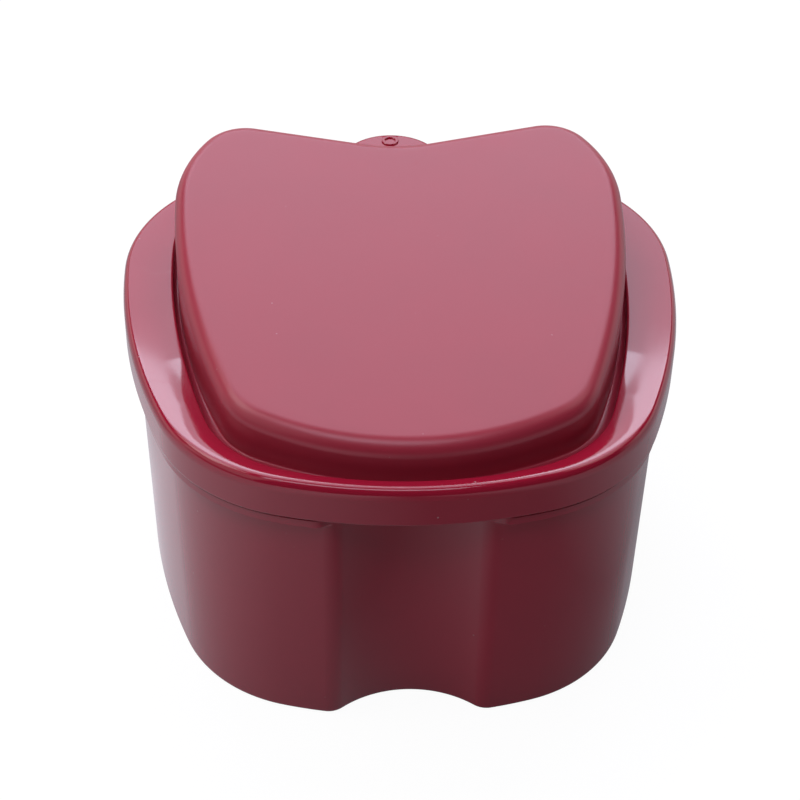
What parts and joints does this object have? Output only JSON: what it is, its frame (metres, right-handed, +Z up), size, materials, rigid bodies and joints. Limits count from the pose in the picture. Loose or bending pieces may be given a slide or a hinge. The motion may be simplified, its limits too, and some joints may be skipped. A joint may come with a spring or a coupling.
{
  "type": "denture case",
  "caption": "Hinged soaking box for dentures with a strainer basket, a thumb scoop down its front and a tooth-shaped raised cap on its lid.",
  "frame": {"origin": "middle of the case's bounding box in plan, on the table face under the cup", "axes": "+Z up, -Y towards the user and the thumb scoop, +Y towards the hinge, +X to the right"},
  "size_m": [0.09, 0.0972, 0.064],
  "materials": {
    "cup": "gloss wine red",
    "lid": "gloss wine red",
    "hinge_pin": "drawn",
    "seal_ring": "matt silicone",
    "strainer_basket": "satin white"
  },
  "bodies": {
    "cup": {"cup": "cup", "hinge_pin": "hinge_pin"},
    "lid": {"lid": "lid", "seal_ring": "seal_ring"},
    "basket": {"strainer_basket": "strainer_basket"}
  },
  "joints": [
    {"name": "lid_hinge", "type": "hinge", "parent": "cup", "child": "lid", "pos_m": [0, 0.044, 0.0444], "axis": [-1, 0, 0], "range_deg": [0, 110]},
    {"name": "basket_lift", "type": "slide", "parent": "cup", "child": "basket", "axis": [0, 0, 1], "range_m": [0, 0.002]}
  ]
}
